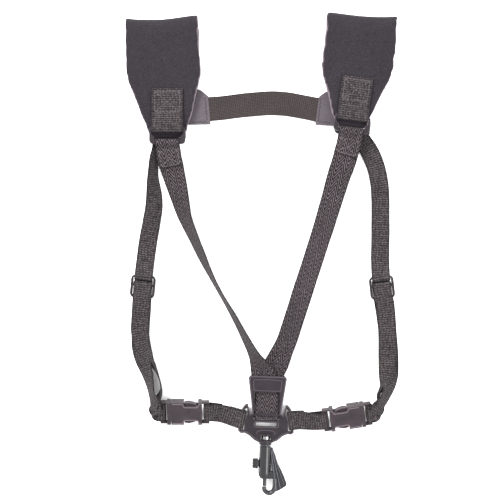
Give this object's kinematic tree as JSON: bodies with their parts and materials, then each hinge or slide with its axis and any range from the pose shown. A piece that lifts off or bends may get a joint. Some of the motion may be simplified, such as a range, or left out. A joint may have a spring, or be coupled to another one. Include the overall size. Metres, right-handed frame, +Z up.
{
  "type": "saxophone neck strap",
  "caption": "Two-shoulder harness with padded shoulders, elastic cross band, front tape, sliding adjusters, side-release buckles and a swivel snap hook.",
  "frame": {"origin": "on the surface the harness lies on, below the middle of its outline", "axes": "+X to the right shoulder pad as seen, +Y from the hook towards the pads, +Z up from the surface"},
  "size_m": [0.2826, 0.4947, 0.0259],
  "materials": {
    "pad_cloth": "smooth knit",
    "webbing": "ribbed weave",
    "tape": "herringbone weave",
    "elastic": "fine rib",
    "patch_cloth": "plain weave",
    "thread": "matte",
    "plastic": "fine grain",
    "hook_plastic": "gloss",
    "steel": "polished"
  },
  "bodies": {
    "harness": {"left_pad": "pad_cloth", "right_pad": "pad_cloth", "left_front_tab": "webbing", "right_front_tab": "webbing", "left_rear_tab": "webbing", "right_rear_tab": "webbing", "left_front_ring": "plastic", "right_front_ring": "plastic", "left_rear_ring": "plastic", "right_rear_ring": "plastic", "elastic_band": "elastic", "left_band_patch": "patch_cloth", "right_band_patch": "patch_cloth", "tab_stitching": "thread", "front_tape": "tape", "centre_plate": "plastic", "left_side_strap": "webbing", "right_side_strap": "webbing", "left_buckle_socket": "plastic", "right_buckle_socket": "plastic", "left_lower_strap": "webbing", "right_lower_strap": "webbing"},
    "front_slide": {"front_slide": "plastic"},
    "hook": {"swivel_stud": "steel", "hook_body": "hook_plastic", "gate_spring": "steel"},
    "gate": {"gate_bolt": "hook_plastic"},
    "left_strap_slide": {"left_strap_slide": "plastic"},
    "right_strap_slide": {"right_strap_slide": "plastic"},
    "left_plug": {"left_buckle_plug": "plastic"},
    "right_plug": {"right_buckle_plug": "plastic"},
    "left_upper_prong": {"left_upper_prong": "plastic"},
    "left_lower_prong": {"left_lower_prong": "plastic"},
    "right_upper_prong": {"right_upper_prong": "plastic"},
    "right_lower_prong": {"right_lower_prong": "plastic"}
  },
  "joints": [
    {"name": "front_slide_travel", "type": "slide", "parent": "harness", "child": "front_slide", "axis": [0.0349, 0.9994, 0], "range_m": [0, 0.05], "deforming": ["front_tape"]},
    {"name": "hook_swivel", "type": "hinge", "parent": "harness", "child": "hook", "pos_m": [0.00283, -0.19497, 0.0066], "axis": [0.0349, 0.9994, 0], "continuous": true},
    {"name": "gate_travel", "type": "slide", "parent": "hook", "child": "gate", "axis": [0.0349, 0.9994, 0], "range_m": [0, 0.0075], "stiffness_N_per_m": 250, "springref_m": -0.004, "deforming": ["gate_spring"]},
    {"name": "left_strap_slide_travel", "type": "slide", "parent": "harness", "child": "left_strap_slide", "axis": [0.0924, 0.9957, 0], "range_m": [0, 0.045], "deforming": ["left_side_strap"]},
    {"name": "right_strap_slide_travel", "type": "slide", "parent": "harness", "child": "right_strap_slide", "axis": [-0.03, 0.9995, 0], "range_m": [0, 0.045], "deforming": ["right_side_strap"]},
    {"name": "left_buckle_release", "type": "slide", "parent": "harness", "child": "left_plug", "axis": [-1, 0, 0], "range_m": [0, 0.035], "deforming": ["left_side_strap", "left_upper_prong", "left_lower_prong"]},
    {"name": "right_buckle_release", "type": "slide", "parent": "harness", "child": "right_plug", "axis": [0.989, 0.1478, 0], "range_m": [0, 0.035], "deforming": ["right_side_strap", "right_upper_prong", "right_lower_prong"]},
    {"name": "left_upper_prong_squeeze", "type": "hinge", "parent": "left_plug", "child": "left_upper_prong", "pos_m": [-0.0944, -0.15305, 0.01233], "axis": [0, -0.342, 0.9397], "range_deg": [-7, 0], "stiffness_Nm_per_rad": 0.4},
    {"name": "left_lower_prong_squeeze", "type": "hinge", "parent": "left_plug", "child": "left_lower_prong", "pos_m": [-0.0944, -0.16695, 0.00727], "axis": [0, -0.342, 0.9397], "range_deg": [0, 7], "stiffness_Nm_per_rad": 0.4},
    {"name": "right_upper_prong_squeeze", "type": "hinge", "parent": "right_plug", "child": "right_upper_prong", "pos_m": [0.09994, -0.1558, 0.01233], "axis": [0.0506, -0.3383, 0.9397], "range_deg": [0, 7], "stiffness_Nm_per_rad": 0.4},
    {"name": "right_lower_prong_squeeze", "type": "hinge", "parent": "right_plug", "child": "right_lower_prong", "pos_m": [0.102, -0.16955, 0.00727], "axis": [0.0506, -0.3383, 0.9397], "range_deg": [-7, 0], "stiffness_Nm_per_rad": 0.4}
  ],
  "couplings": [
    {"joint": "left_lower_prong_squeeze", "follows": "left_upper_prong_squeeze", "ratio": -1},
    {"joint": "right_lower_prong_squeeze", "follows": "right_upper_prong_squeeze", "ratio": -1}
  ]
}
